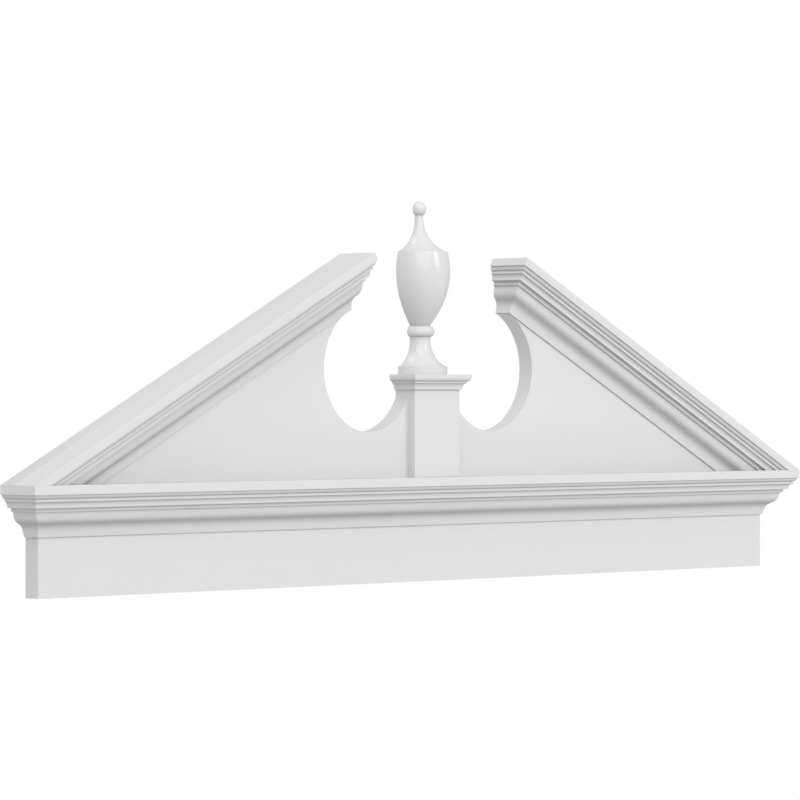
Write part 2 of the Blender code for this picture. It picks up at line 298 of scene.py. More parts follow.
def reverse_curve(width, height):
    """An S-curve that leans in by inset' = end + (turn - end) near^power, summed down its height.

    Near rises evenly from nought at each end to one where the curve turns from round to hollow.
    """
    share = np.linspace(0, 1, 2 * SWEEP_STEPS + 1)
    near = np.minimum(share / CYMA_TURN, (1 - share) / (1 - CYMA_TURN))
    lean = CYMA_LEANS[0] + (CYMA_LEANS[1] - CYMA_LEANS[0]) * near ** CYMA_POWER
    inset = np.cumsum((lean[1:] + lean[:-1]) / 2)
    return np.column_stack((width * inset / inset[-1], height * share[1:]))


def arc(radius, start, end, steps):
    """Offsets along a circle of that radius from the start angle to the end angle."""
    turn = np.linspace(start, end, steps + 1)[1:]
    return radius * np.column_stack((np.cos(turn) - math.cos(start), np.sin(turn) - math.sin(start)))


def laid_end_to_end(start, *members):
    """The members' offsets as one line of points that begins at start."""
    line = [np.array([start], float)]
    for member in members:
        line.append(line[-1][-1] + member)
    return np.concatenate(line)


# Corners and divisions

def bend(before, corner, after, reach):
    """A small quadratic curve in place of a corner.

    It leaves the first side at A, reach short of the corner, and joins the second at B, as far
    beyond it: (1-t)^2 A + 2t(1-t) corner + t^2 B. Reach is held to a share of either side.
    """
    come = corner - before
    leave = after - corner
    come_length = np.linalg.norm(come, axis=-1, keepdims=True)
    leave_length = np.linalg.norm(leave, axis=-1, keepdims=True)
    cut = np.minimum(reach, MOST_OF_A_SIDE * np.minimum(come_length, leave_length))
    start = corner - come / come_length * cut
    end = corner + leave / leave_length * cut
    share = np.linspace(0, 1, EASE_STEPS + 1).reshape((-1,) + (1,) * corner.ndim)
    return (1 - share) ** 2 * start + 2 * share * (1 - share) * corner + share ** 2 * end


def turns_of(line):
    """The signed angle that a flat line turns through at each inner point."""
    step = np.diff(line, axis=0)
    heading = np.arctan2(step[:, 1], step[:, 0])
    return (np.diff(heading) + math.pi) % (2 * math.pi) - math.pi


def eased(line, reach):
    """A flat line with each sharp corner rounded by a bend, and where those corners are.

    Returns the points, and for each corner its place in the new line and its turn.
    """
    turn = turns_of(line)
    sharp = np.abs(turn) > SHARP_TURN
    bends = bend(line[:-2], line[1:-1], line[2:], reach).transpose(1, 0, 2)
    bends = np.where(sharp[:, None, None], bends, line[1:-1, None])
    keep = sharp[:, None] | (np.arange(EASE_STEPS + 1) == 0)
    first = 1 + np.cumsum(keep.sum(axis=1)) - keep.sum(axis=1)
    middle = first[sharp] + EASE_STEPS // 2
    return np.concatenate((line[:1], bends[keep], line[-1:])), middle, turn[sharp]


def divided(line, spacing):
    """A line with its long straight steps divided evenly, and each old point's new place."""
    length = np.linalg.norm(np.diff(line, axis=0), axis=1)
    count = np.maximum(1, np.ceil(length / spacing - TINY)).astype(int)
    place = np.concatenate(([0], np.cumsum(count)))
    owner = np.repeat(np.arange(len(count)), count)
    share = (np.arange(place[-1]) - place[owner]) / count[owner]
    points = line[owner] + share[:, None] * (line[owner + 1] - line[owner])
    return np.concatenate((points, line[-1:])), place


def along(line):
    """The distance along a line to each of its points."""
    steps = np.linalg.norm(np.diff(line, axis=0), axis=-1)
    return np.concatenate((np.zeros((1,) + steps.shape[1:]), np.cumsum(steps, axis=0)))


def finished_profile(line, outward_turn):
    """Eased and divided profile points, with arris and painted shade values from nought to one.

    The arris value is exp(-distance / width) from the closest outer corner. The painted shade value
    is a share of the same from the closest inner corner, or the square of how far the face turns
    down where that is more, so that creases and faces that turn down are painted darker as shade.
    """
    points, corner, turn = eased(line, ARRIS_REACH)
    points, place = divided(points, PROFILE_SPACING)
    distance = along(points)
    gap = np.abs(distance[:, None] - distance[place[corner]][None, :])
    outer = (turn * outward_turn > 0)
    masks = []
    for chosen, width in ((outer, ARRIS_WIDTH), (~outer, CREASE_SHADE_WIDTH)):
        near = np.exp(-gap[:, chosen] / width)
        masks.append(near.max(axis=1) if chosen.any() else np.zeros(len(points)))
    # Painted shade: faces that turn down get the square of how far they turn
    step = np.diff(points, axis=0)
    turned_down = np.clip(step[:, 0] / np.linalg.norm(step, axis=1), 0, 1)
    turned_down = (np.append(turned_down, 0) + np.append(0, turned_down)) / 2
    return points, masks[0], np.maximum(CORNER_SHARE * masks[1], turned_down ** 2)


def stations(keys):
    """A profile's places along a mitred path, with the mitres eased and the runs divided.

    keys holds the profile at the path's ends and corners. Stations are close together by the
    corners and far apart between them. Returns them and how near each is to a corner.
    """
    bends = [bend(*keys[index - 1:index + 2], MITRE_REACH) for index in range(1, len(keys) - 1)]
    blocks = [keys[:1], *bends, keys[-1:]]
    parts, nearness = [blocks[0]], [np.zeros(1)]
    for index in range(len(blocks) - 1):
        near, far = blocks[index][-1], blocks[index + 1][0]
        length = np.linalg.norm(far - near, axis=-1).max()
        even = np.linspace(0, length, max(2, math.ceil(length / STATION_SPACING)) + 1)
        grades = np.array(STATION_GRADES)
        place = np.concatenate((even, grades, length - grades))
        place = np.unique(np.round(place, PLACE_DIGITS))
        place = place[(place > 0) & (place < length - TINY)]
        parts.append(near + (far - near) * (place / length)[:, None, None])
        inner = index < len(blocks) - 2
        from_near = place if index > 0 else np.full(len(place), np.inf)
        from_far = length - place if inner else np.full(len(place), np.inf)
        nearness.append(np.exp(-np.minimum(from_near, from_far) / ARRIS_WIDTH))
        parts.append(blocks[index + 1])
        nearness.append(np.full(len(blocks[index + 1]), float(inner)))
    return np.concatenate(parts), np.concatenate(nearness)


# Meshes

def surface(name, grid, caps, closed_rows=False, closed_columns=False, **masks):
    """A piece whose skin is a grid of points, closed by flat caps.

    grid[i, j] is point i of the profile at station j. Each cap is a ring of (row, column)
    indices. Masks fit the grid's rows and columns and become attributes of the faces' corners,
    with nought on the caps.
    """
    rows, columns = grid.shape[:2]
    index = np.arange(rows * columns).reshape(rows, columns)
    near = np.concatenate((index, index[:1])) if closed_rows else index
    near = np.concatenate((near, near[:, :1]), axis=1) if closed_columns else near
    quads = np.stack((near[:-1, :-1], near[:-1, 1:], near[1:, 1:], near[1:, :-1]), axis=-1)
    faces = quads.reshape(-1, 4).tolist() + [index[ring].tolist() for ring in caps]
    mesh = bpy.data.meshes.new(name)
    mesh.from_pydata(grid.reshape(-1, 3), [], faces)
    corner_point = np.empty(len(mesh.loops), np.int32)
    mesh.loops.foreach_get("vertex_index", corner_point)
    on_skin = np.arange(len(corner_point)) < quads.size
    for mask_name, values in masks.items():
        attribute = mesh.attributes.new(mask_name, "FLOAT", "CORNER")
        shown = np.broadcast_to(values, grid.shape[:2]).ravel()[corner_point] * on_skin
        attribute.data.foreach_set("value", shown.astype(np.float32))
    lengths = np.stack((along(grid.transpose(1, 0, 2)).T, along(grid)), axis=-1).reshape(-1, 2)
    uv_map = mesh.uv_layers.new(name="run_and_girth")
    uv_map.data.foreach_set("uv", lengths[corner_point].astype(np.float32).ravel())

    builder = bmesh.new()
    builder.from_mesh(mesh)
    bmesh.ops.remove_doubles(builder, verts=builder.verts, dist=MERGE_DISTANCE)
    bmesh.ops.dissolve_degenerate(builder, edges=builder.edges, dist=MERGE_DISTANCE)
    bmesh.ops.recalc_face_normals(builder, faces=builder.faces)
    for face in builder.faces:
        face.smooth = len(face.verts) < 5
    builder.to_mesh(mesh)
    builder.free()
    mesh.set_sharp_from_angle(angle=SMOOTH_ANGLE)
    piece = bpy.data.objects.new(name, mesh)
    bpy.context.scene.collection.objects.link(piece)
    return piece


def settle(piece, slot_name, node_name, context):
    """Give a piece its slot's finish, and let it stand for the CAD node of the same part."""
    piece.data.materials.append(slot_material(slot_name, context))
    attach(piece, "root")
    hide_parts(node_name)


def ring(row, column):
    """A cap's (row, column) indices, where either may be one number for the whole ring."""
    return tuple(np.broadcast_arrays(row, column))


def there_and_back(row, last_column):
    """The ring that goes along the first column's rows and comes back along the last one's."""
    return np.concatenate((row, row[::-1])), np.repeat((0, last_column), len(row))


# The pieces' shapes

def crown_profile(sizes):
    """The crown's closed outline as (inset, drop), from the middle of its back round the top."""
    back = CROWN_PROJECTION - JOINT
    used = (sizes.fascia_height + sizes.ovolo_height + sizes.upper_fillet_height
            + sizes.cove_height + sizes.lower_fillet_height)
    stepped = (sizes.drip_step + sizes.ovolo_width + sizes.upper_fillet_step + sizes.cove_step
               + sizes.cove_width + sizes.lower_fillet_step + sizes.cyma_step + sizes.foot_step)
    return laid_end_to_end(
        (back, CROWN_HEIGHT / 2),
        flat(0, -CROWN_HEIGHT / 2),
        flat(-back, 0),
        flat(0, sizes.fascia_height),
        flat(sizes.drip_step, 0),
        ovolo(sizes.ovolo_width, sizes.ovolo_height),
        flat(sizes.upper_fillet_step, 0),
        flat(0, sizes.upper_fillet_height),
        flat(sizes.cove_step, 0),
        cove(sizes.cove_width, sizes.cove_height),
        flat(sizes.lower_fillet_step, 0),
        flat(0, sizes.lower_fillet_height),
        flat(sizes.cyma_step, 0),
        reverse_curve(CROWN_PROJECTION - stepped, CROWN_HEIGHT - used),
        flat(sizes.foot_step - JOINT, 0),
        flat(0, -CROWN_HEIGHT / 2))


def cap_profile(sizes, height):
    """The cap's edge as (inset, drop), from a little way in on its top to as far in below."""
    used = sizes.slab_height + sizes.ovolo_height + sizes.fillet_height + sizes.cove_height
    return laid_end_to_end(
        (CAP_PROJECTION / 2, 0),
        flat(-CAP_PROJECTION / 2, 0),
        flat(0, sizes.slab_height),
        ovolo(sizes.ovolo_width, sizes.ovolo_height),
        flat(sizes.fillet_step, 0),
        flat(0, sizes.fillet_height),
        flat(sizes.cove_step, 0),
        cove(sizes.cove_width, sizes.cove_height),
        flat(0, height - used),
        flat(CAP_PROJECTION / 2, 0))


def block_profile(height):
    """A plain block's edge as (inset, drop), turning in at the top and at the bottom."""
    return laid_end_to_end((CAP_PROJECTION, 0), flat(-CAP_PROJECTION, 0),
                           flat(0, height), flat(CAP_PROJECTION, 0))


def finial_profile(sizes):
    """The finial's (radius, height) points from its base's middle to the top of its ball.

    The urn is a parabola, r = belly - k(z - belly height)^2, and the ball is a circle that
    starts where it is as wide as the stem.
    """
    urn_height = sizes.belly_height + sizes.shoulder_height
    level = np.linspace(0, urn_height, 2 * SWEEP_STEPS + 1)[:, None]
    narrowing = (sizes.belly_radius - sizes.urn_foot_radius) / sizes.belly_height ** 2
    radius = sizes.belly_radius - narrowing * (level - sizes.belly_height) ** 2
    lip = radius[-1, 0] - sizes.shoulder_step
    collar = math.pi * np.linspace(0, 1, 2 * CURVE_STEPS + 1)[1:]
    stem_turn = math.asin(sizes.stem_radius / sizes.ball_radius)
    return laid_end_to_end(
        (0, 0),
        flat(sizes.base_radius, 0),
        flat(0, sizes.base_height),
        flat(-sizes.base_step, 0),
        sweep(sizes.neck_radius - sizes.base_radius + sizes.base_step, sizes.foot_height,
              FOOT_HANDLES),
        flat(0, sizes.neck_height),
        np.column_stack((sizes.collar_bulge * np.sin(collar),
                         sizes.collar_height / 2 * (1 - np.cos(collar)))),
        flat(sizes.urn_foot_radius - sizes.neck_radius, 0),
        np.hstack((radius - sizes.urn_foot_radius, level))[1:],
        flat(-sizes.shoulder_step, 0),
        sweep(sizes.stem_radius - lip, sizes.lid_height, LID_HANDLES),
        arc(sizes.ball_radius, stem_turn - math.pi / 2, math.pi / 2, 4 * CURVE_STEPS))


def level_keys(profile, half_width, depth, top):
    """A profile at the two wall ends and the two mitres of a piece that is level.

    Across is half width less inset, out is depth less inset, and height is top less drop.
    """
    inset, fall = profile.T
    across = half_width - inset
    out = inset - depth
    height = top - fall
    at_wall = np.zeros_like(out)
    corners = ((-across, at_wall), (-across, out), (across, out), (across, at_wall))
    return np.array([np.column_stack((x, y, height)) for x, y in corners])


def rake_directions(slope):
    """Unit vectors down the right-hand rake and square to it, and the gap's top corner."""
    angle = math.atan(slope)
    down = np.array((math.cos(angle), 0, -math.sin(angle)))
    square = np.array((math.sin(angle), 0, math.cos(angle)))
    corner_across = CORNICE_HALF_WIDTH - (GAP_CORNER_HEIGHT - CORNICE_TOP) / slope
    return down, square, np.array((corner_across, 0, GAP_CORNER_HEIGHT))


def rake_keys(profile, slope):
    """The crown at its level foot cut, at the mitre by the gap and at the wall beyond it.

    The foot cut slides each point up the rake until it is level with the cornice's top. The
    mitre moves each point down the rake by its inset and square to it by its drop.
    """
    down, square, corner = rake_directions(slope)
    tip = np.array((CORNICE_HALF_WIDTH, 0, CORNICE_TOP))
    inset, fall = profile[:, :1], profile[:, 1:]
    out = (inset - CROWN_DEPTH) * np.array((0, 1, 0))
    up_rake = (JOINT + fall * square[2]) / -down[2]
    foot = tip - up_rake * down - fall * square + out
    turn = corner + inset * down - fall * square
    return np.array((foot, turn + out, turn))


def board_outline(slope, cusp_below_cap):
    """The sheet's outline from the middle of its underside round to the same place.

    The cut-out is a circle that leaves the foot of the crown's return along the rake and
    passes through the cusp at the pedestal: radius = chord^2 / (2 chord . square).
    """
    down, square, corner = (vector[[0, 2]] for vector in rake_directions(slope))
    notch = PEDESTAL_HIGH.x + JOINT
    cusp = np.array((notch, PEDESTAL_HIGH.z - cusp_below_cap))
    foot = corner + CROWN_PROJECTION * down - CROWN_HEIGHT * square
    chord = foot - cusp
    radius = chord @ chord / (2 * chord @ square)
    centre = foot - radius * square
    turns = math.atan2(*square[::-1]), math.atan2(*(cusp - centre)[::-1])
    standing = CORNICE_TOP + JOINT
    right = np.concatenate((
        np.array(((0, BOARD_LOW.z), (FRIEZE_HALF_WIDTH, BOARD_LOW.z),
                  (FRIEZE_HALF_WIDTH, standing),
                  (CORNICE_HALF_WIDTH - JOINT / slope, standing),
                  corner + CROWN_PROJECTION * down, foot)),
        foot + arc(radius, *turns, CUT_OUT_STEPS),
        np.array(((notch, CORNICE_TOP), (0, CORNICE_TOP)))))
    left = right[-2:0:-1] * (-1, 1)
    return np.concatenate((right, left))


def inward(outline):
    """The direction at each point of a closed outline that moves both its sides in by one."""
    side = np.roll(outline, -1, axis=0) - outline
    side /= np.linalg.norm(side, axis=1, keepdims=True)
    normal = np.column_stack((-side[:, 1], side[:, 0]))
    before = np.roll(normal, 1, axis=0)
    return (normal + before) / (1 + (normal * before).sum(axis=1, keepdims=True))


# Shared effects

def new_group(name, inputs, *outputs):
    """A shader node group; returns it, what it is given and what it gives.

    An input that has a number as its default is a number, and one that has None is a vector.
    """
    group = bpy.data.node_groups.new(name, "ShaderNodeTree")
    for socket_name, default in inputs.items():
        kind = "NodeSocketVector" if default is None else "NodeSocketFloat"
        socket = group.interface.new_socket(socket_name, in_out="INPUT", socket_type=kind)
        if default is not None:
            socket.default_value = default
    for socket_name in outputs:
        group.interface.new_socket(socket_name, in_out="OUTPUT", socket_type="NodeSocketFloat")
    given, result = group.nodes.new("NodeGroupInput"), group.nodes.new("NodeGroupOutput")
    return group, given.outputs, result.inputs


def node(tree, kind, links=None, **settings):
    """A node with its inputs linked to other sockets or set to plain values."""
    made = tree.nodes.new(kind)
    for setting, value in settings.items():
        setattr(made, setting, value)
    for socket_name, source in (links or {}).items():
        if isinstance(source, bpy.types.NodeSocket):
            tree.links.new(source, made.inputs[socket_name])
        else:
            made.inputs[socket_name].default_value = source
    return made


def maths(tree, operation, *values, clamp=False):
    """The result of one sum on sockets or numbers."""
    made = node(tree, "ShaderNodeMath", dict(enumerate(values)), operation=operation,
                use_clamp=clamp)
    return made.outputs["Value"]


def mixed(tree, share, first, second):
    """Two numbers mixed by a share."""
    return node(tree, "ShaderNodeMix", {0: share, 2: first, 3: second}).outputs[0]


def mixed_colour(tree, share, first, second):
    """Two colours mixed by a share."""
    made = node(tree, "ShaderNodeMix", {0: share, 6: first, 7: second}, data_type="RGBA")
    return made.outputs[2]


def noise(tree, place, per_metre, detail, roughness=0.5, **settings):
    """The value of a noise pattern, from nought to one."""
    made = node(tree, "ShaderNodeTexNoise", {"Vector": place, "Scale": per_metre,
                                             "Detail": detail, "Roughness": roughness},
                **settings)
    return made.outputs["Fac"]


def carried(tree, value, seen, wanted, **settings):
    """A value carried from the range that is seen to the range wanted, and held at its ends."""
    made = node(tree, "ShaderNodeMapRange", {
        "Value": value, "From Min": seen[0], "From Max": seen[1],
        "To Min": wanted[0], "To Max": wanted[1]}, **settings)
    return made.outputs["Result"]


def fine_skin_group():
    """The faint orange peel of extruded PVC, with slow changes of tone and gloss."""
    group, given, result = new_group(
        "fine_skin", {"Place": None, "Peel per metre": 420.0, "Cloud per metre": 9.0},
        "Height", "Cloud")
    peel = noise(group, given["Place"], given["Peel per metre"], detail=2.0, roughness=0.55)
    cloud = noise(group, given["Place"], given["Cloud per metre"], detail=3.0, roughness=0.6)
    group.links.new(peel, result["Height"])
    group.links.new(cloud, result["Cloud"])
    return group


def cutter_lines_group():
    """Fine lines that a cutter leaves along its run, from noise drawn out along it."""
    group, given, result = new_group(
        "cutter_lines", {"Run and girth": None, "Lines per metre": 900.0, "Drift per metre": 2.5},
        "Height")
    split = node(group, "ShaderNodeSeparateXYZ", {"Vector": given["Run and girth"]})
    run = maths(group, "MULTIPLY", split.outputs["X"], given["Drift per metre"])
    girth = maths(group, "MULTIPLY", split.outputs["Y"], given["Lines per metre"])
    place = node(group, "ShaderNodeCombineXYZ", {"X": run, "Y": girth})
    lines = noise(group, place.outputs["Vector"], 1.0, detail=3.0, roughness=0.65,
                  noise_dimensions="2D")
    group.links.new(lines, result["Height"])
    return group


def sawn_pores_group():
    """Open cells and saw strokes on a cut edge; the strokes run across the sheet."""
    group, given, result = new_group(
        "sawn_pores", {"Place": None, "Pores per metre": 1500.0, "Strokes per metre": 700.0},
        "Height", "Pores")
    cells = node(group, "ShaderNodeTexVoronoi",
                 {"Vector": given["Place"], "Scale": given["Pores per metre"]})
    pores = carried(group, cells.outputs["Distance"], PORE_RIM, (1.0, 0.0))
    drawn = node(group, "ShaderNodeMapping", {"Vector": given["Place"], "Scale": STROKE_DRAW})
    strokes = noise(group, drawn.outputs["Vector"], given["Strokes per metre"], detail=2.0)
    group.links.new(maths(group, "SUBTRACT", strokes, pores), result["Height"])
    group.links.new(pores, result["Pores"])
    return group


def broken_mask_group():
    """A mask from a mesh attribute, broken up by noise, for polished arrises and painted shade."""
    group, given, result = new_group(
        "broken_mask", {"Place": None, "Nearness": 0.0, "Amount": 0.2, "Evenness": 0.35,
                        "Breaks per metre": 60.0}, "Mask")
    breaks = noise(group, given["Place"], given["Breaks per metre"], detail=4.0, roughness=0.6)
    patchy = carried(group, breaks, PATCH_RIM, (given["Evenness"], 1.0))
    shared = maths(group, "MULTIPLY", patchy, given["Nearness"])
    mask = maths(group, "MULTIPLY", shared, given["Amount"], clamp=True)
    group.links.new(mask, result["Mask"])
    return group


def ledge_shade_group():
    """A painted-shade mask that is one just above a ledge and fades out smoothly over its reach.

    It covers only what stands no further out than a depth, so that a block in front is left out.
    """
    group, given, result = new_group(
        "ledge_shade", {"Place": None, "Ledge": 0.0, "Depth": 0.03, "Reach": 0.1}, "Mask")
    split = node(group, "ShaderNodeSeparateXYZ", {"Vector": given["Place"]})
    height = maths(group, "SUBTRACT", split.outputs["Z"], given["Ledge"])
    fading = carried(group, height, (0.0, given["Reach"]), (1.0, 0.0),
                     interpolation_type="SMOOTHSTEP")
    out = maths(group, "MULTIPLY", split.outputs["Y"], -1.0)
    behind = maths(group, "LESS_THAN", out, given["Depth"])
    above = maths(group, "GREATER_THAN", height, 0.0)
    covered = maths(group, "MULTIPLY", above, behind)
    group.links.new(maths(group, "MULTIPLY", fading, covered), result["Mask"])
    return group


GROUP_BUILDERS = {
    "fine_skin": fine_skin_group,
    "cutter_lines": cutter_lines_group,
    "sawn_pores": sawn_pores_group,
    "broken_mask": broken_mask_group,
    "ledge_shade": ledge_shade_group,
}


def place_group(tree, name, links):
    """One of the shared groups set in a material with this material's own values."""
    group = bpy.data.node_groups.get(name) or GROUP_BUILDERS[name]()
    return node(tree, "ShaderNodeGroup", links, node_tree=group)


# Materials

def pvc_material(name, finish, roughness, lines_per_metre=0.0, sawn=False):
    """White PVC: orange peel, polished arrises, and painted shade in the creases and on faces
    that turn down.

    A moulded or turned piece has cutter lines as well, and a sheet has porous sawn edges and
    painted shade just above the cornice's ledge.
    """
    material = bpy.data.materials.new(name)
    material.use_nodes = True
    tree = material.node_tree
    shader = tree.nodes["Principled BSDF"]
    coordinates = tree.nodes.new("ShaderNodeTexCoord")
    place = coordinates.outputs["Object"]
    shade_grey = (*finish.shade_grey, 1.0)
    skin = place_group(tree, "fine_skin", {"Place": place})
    arris, recess, edge = (
        node(tree, "ShaderNodeAttribute", attribute_name=attribute_name).outputs["Fac"]
        for attribute_name in ("arris", "recess", "sawn"))
    # Painted shade in creases and on faces that turn down, from the mesh's shade mask, broken up by
    # noise
    painted_shade = place_group(tree, "broken_mask", {
        "Place": place, "Nearness": recess, "Amount": finish.painted_shade,
        "Evenness": SHADE_EVENNESS, "Breaks per metre": SHADE_BREAKS}).outputs["Mask"]
    wear = place_group(tree, "broken_mask", {
        "Place": place, "Nearness": arris, "Amount": finish.wear,
        "Breaks per metre": WEAR_BREAKS}).outputs["Mask"]
    dull = (*(channel * DULL_CLOUD for channel in finish.pvc_white), 1.0)
    colour = mixed_colour(tree, skin.outputs["Cloud"], dull, (*finish.pvc_white, 1.0))
    height = skin.outputs["Height"]
    gloss = maths(tree, "MULTIPLY_ADD", skin.outputs["Cloud"], GLOSS_SPREAD,
                  roughness - GLOSS_SPREAD / 2)

    if lines_per_metre:
        lines = place_group(tree, "cutter_lines", {"Run and girth": coordinates.outputs["UV"],
                                                   "Lines per metre": lines_per_metre})
        height = maths(tree, "ADD", maths(tree, "MULTIPLY", height, PEEL_UNDER_LINES),
                       maths(tree, "MULTIPLY", lines.outputs["Height"], LINE_HEIGHT))
    if sawn:
        pores = place_group(tree, "sawn_pores", {"Place": place})
        # Open cells on a sawn edge are darkened towards the same grey
        speck = maths(tree, "MULTIPLY", pores.outputs["Pores"], PORE_DARKENING)
        cut_white = mixed_colour(tree, speck, (*finish.sawn_white, 1.0), shade_grey)
        colour = mixed_colour(tree, edge, colour, cut_white)
        rough_edge = maths(tree, "MULTIPLY", pores.outputs["Height"], PORE_HEIGHT)
        height = mixed(tree, edge, height, rough_edge)
        gloss = mixed(tree, edge, gloss, SAWN_ROUGHNESS)
        # Painted shade on the sheet just above the cornice's ledge, joined to the rest
        ledge = place_group(tree, "ledge_shade", {"Place": place, "Ledge": CORNICE_TOP,
                                                 "Depth": BOARD_THICKNESS + SAWN_REACH,
                                                 "Reach": finish.ledge_shade_reach})
        over_ledge = maths(tree, "MULTIPLY", ledge.outputs["Mask"], finish.ledge_shade)
        painted_shade = maths(tree, "MAXIMUM", painted_shade, over_ledge)

    # The painted shade mixes the colour towards the shade grey and makes it rougher
    colour = mixed_colour(tree, painted_shade, colour, shade_grey)
    gloss = maths(tree, "ADD", gloss, maths(tree, "MULTIPLY", painted_shade, ROUGHER_WITH_SHADE))
    gloss = maths(tree, "SUBTRACT", gloss, maths(tree, "MULTIPLY", wear, SMOOTHER_WITH_WEAR))
    bump = node(tree, "ShaderNodeBump", {"Strength": BUMP_STRENGTH, "Distance": BUMP_DEPTH,
                                         "Height": height})
    tree.links.new(colour, shader.inputs["Base Color"])
    tree.links.new(gloss, shader.inputs["Roughness"])
    tree.links.new(bump.outputs["Normal"], shader.inputs["Normal"])
    shader.inputs["IOR"].default_value = PVC_IOR
    return material


def slot_material(slot_name, context):
    """The finish for one of the record's slots, made the first time that a piece asks for it."""
    name = "dressed_" + slot_name
    finish = context.scene.pediment_finish
    if name in bpy.data.materials:
        return bpy.data.materials[name]
    if slot_name == "sheet_pvc":
        return pvc_material(name, finish, finish.sheet_roughness, sawn=True)
    if slot_name == "moulded_pvc":
        return pvc_material(name, finish, finish.moulding_roughness, MOULDING_LINES)
    return pvc_material(name, finish, finish.turned_roughness, TURNING_LINES)


# Operators

class PEDIMENT_OT_backboard(bpy.types.Operator):
    """Build the sheet with its frieze, tympanum, cut-outs and notch"""

    bl_idname = "pediment.backboard"
    bl_label = "Backboard"

    def execute(self, context):
        sizes = context.scene.pediment_board
        outline = board_outline(sizes.rake_slope, sizes.cusp_below_cap)
        rows, middle, _ = eased(block_profile(BOARD_THICKNESS), SAWN_REACH)
        rows = rows[1:-1]
        face = outline[None] + rows[:, :1, None] * inward(outline)[None]
        out = np.broadcast_to(rows[:, 1:] - BOARD_THICKNESS, face.shape[:2])
        grid = np.stack((face[..., 0], out, face[..., 1]), axis=-1)
        around = np.arange(len(outline))
        arris = np.zeros(len(rows))
        arris[middle - 1] = 1.0
        piece = surface("Backboard", grid, [ring(0, around), ring(len(rows) - 1, around)],
                        closed_columns=True, arris=arris[:, None], recess=0.0,
                        sawn=rows[:, :1] < SAWN_REACH / 2)
        settle(piece, "sheet_pvc", "backboard", context)
        return {"FINISHED"}


class PEDIMENT_OT_cornice_crown(bpy.types.Operator):
    """Build the level crown moulding with its two returns"""

    bl_idname = "pediment.cornice_crown"
    bl_label = "Cornice crown"

    def execute(self, context):
        points, arris, recess = crown_section(context)
        keys = level_keys(points, CORNICE_HALF_WIDTH, CROWN_DEPTH, CORNICE_TOP)
        build_crown("Cornice_crown", keys, arris, recess, "cornice_crown", context)
        return {"FINISHED"}


class PEDIMENT_OT_rake_crowns(bpy.types.Operator):
    """Build the two sloping crown mouldings with their returns at the gap"""

    bl_idname = "pediment.rake_crowns"
    bl_label = "Rake crowns"

    def execute(self, context):
        points, arris, recess = crown_section(context)
        keys = rake_keys(points, context.scene.pediment_board.rake_slope)
        for side, hand in ((1, "right"), (-1, "left")):
            build_crown("Rake_crown_" + hand, keys * (side, 1, 1), arris, recess,
                        "rake_crown_" + hand, context)
        return {"FINISHED"}


def crown_section(context):
    """The crown's finished outline and its arris and painted shade values, without the closing
    point.
    """
    line = crown_profile(context.scene.pediment_crown)
    return [part[:-1] for part in finished_profile(line, -1)]


def build_crown(name, keys, arris, recess, node_name, context):
    """A crown from its profile at the key stations, closed flat at both ends."""
    places, corner = stations(keys)
    row = np.arange(len(arris))
    piece = surface(name, places.transpose(1, 0, 2), [ring(row, 0), ring(row, len(places) - 1)],
                    closed_rows=True, arris=np.maximum(arris[:, None], corner),
                    recess=recess[:, None])
    settle(piece, "moulded_pvc", node_name, context)


def build_block(name, profile, box, slot_name, node_name, context):
    """A block against the wall whose front and sides follow a profile, flat above and below."""
    low, high = box
    points, arris, recess = finished_profile(profile, -1)
    places, corner = stations(level_keys(points, high.x, -low.y, high.z))
    row, column = np.arange(len(points)), np.arange(len(places))
    caps = [ring(0, column), ring(row[-1], column), there_and_back(row, column[-1])]
    piece = surface(name, places.transpose(1, 0, 2), caps,
                    arris=np.maximum(arris[:, None], corner), recess=recess[:, None], sawn=0.0)
    settle(piece, slot_name, node_name, context)


class PEDIMENT_OT_pedestal(bpy.types.Operator):
    """Build the square block that carries the finial"""

    bl_idname = "pediment.pedestal"
    bl_label = "Pedestal"

    def execute(self, context):
        low = Vector((PEDESTAL_LOW.x, PEDESTAL_LOW.y, CORNICE_TOP + JOINT))
        high = Vector((PEDESTAL_HIGH.x, PEDESTAL_HIGH.y, CAP_LOW.z - JOINT))
        build_block("Pedestal", block_profile(high.z - low.z), (low, high), "sheet_pvc",
                    "pedestal", context)
        return {"FINISHED"}


class PEDIMENT_OT_pedestal_cap(bpy.types.Operator):
    """Build the pedestal's moulded cap"""

    bl_idname = "pediment.pedestal_cap"
    bl_label = "Pedestal cap"

    def execute(self, context):
        height = CAP_HIGH.z - CAP_LOW.z
        build_block("Pedestal_cap", cap_profile(context.scene.pediment_cap, height),
                    (CAP_LOW, CAP_HIGH), "moulded_pvc", "pedestal_cap", context)
        return {"FINISHED"}


class PEDIMENT_OT_finial(bpy.types.Operator):
    """Build the turned urn with its flat back"""

    bl_idname = "pediment.finial"
    bl_label = "Finial"

    def execute(self, context):
        line = finial_profile(context.scene.pediment_finial)
        points, arris, recess = finished_profile(line, 1)
        radius, height = points.T
        radius = np.maximum(radius, 0)
        past_axis = np.arcsin(np.minimum(1, FINIAL_AXIS_TO_WALL / np.maximum(radius, TINY)))
        turn = (np.linspace(-1, 1, TURN_STEPS + 1)[None, :] * (math.pi / 2 + past_axis)[:, None])
        grid = np.stack((radius[:, None] * np.sin(turn),
                         -FINIAL_AXIS_TO_WALL - radius[:, None] * np.cos(turn),
                         np.broadcast_to(CAP_HIGH.z + JOINT + height[:, None], turn.shape)),
                        axis=-1)
        cut = np.flatnonzero(radius >= FINIAL_AXIS_TO_WALL)
        piece = surface("Finial", grid, [there_and_back(cut, TURN_STEPS)],
                        arris=arris[:, None], recess=recess[:, None])
        settle(piece, "turned_pvc", "finial", context)
        return {"FINISHED"}


